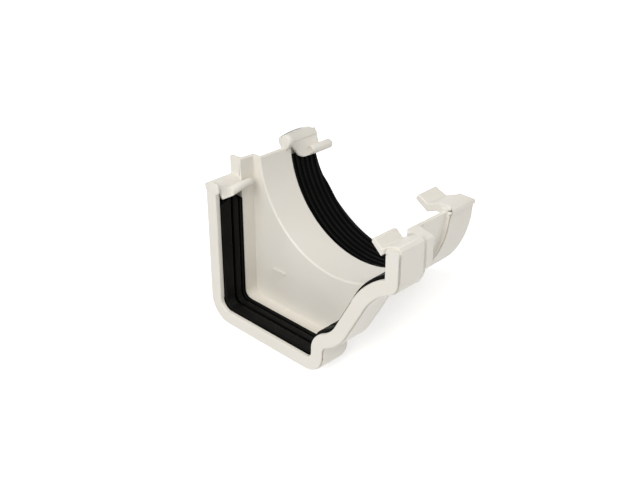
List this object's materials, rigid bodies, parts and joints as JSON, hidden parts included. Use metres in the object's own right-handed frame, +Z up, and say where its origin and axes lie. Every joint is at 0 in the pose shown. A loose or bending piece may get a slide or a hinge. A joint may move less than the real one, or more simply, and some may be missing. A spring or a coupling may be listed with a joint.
{
  "type": "gutter adaptor",
  "caption": "Moulded adaptor with rubber-sealed sockets that joins a half-round rainwater gutter to an ogee gutter, with hooks on the house side and snap clips on the street side.",
  "frame": {"origin": "centre of the bounding box at floor level, with the part resting unheld on its ogee stop wall and its half-round end", "axes": "+X across the gutters towards the street, +Z up, and the gutter run lies in the Y-Z plane, dropping 33 degrees towards +Y from the ogee end to the half-round end"},
  "size_m": [0.1316, 0.1128, 0.0885],
  "materials": {
    "body_plastic": "satin moulded, warm white",
    "seal_rubber": "matte black, ribbed"
  },
  "bodies": {
    "root": {"adaptor_body": "body_plastic", "ogee_seal": "seal_rubber", "half_round_seal": "seal_rubber"}
  },
  "joints": []
}
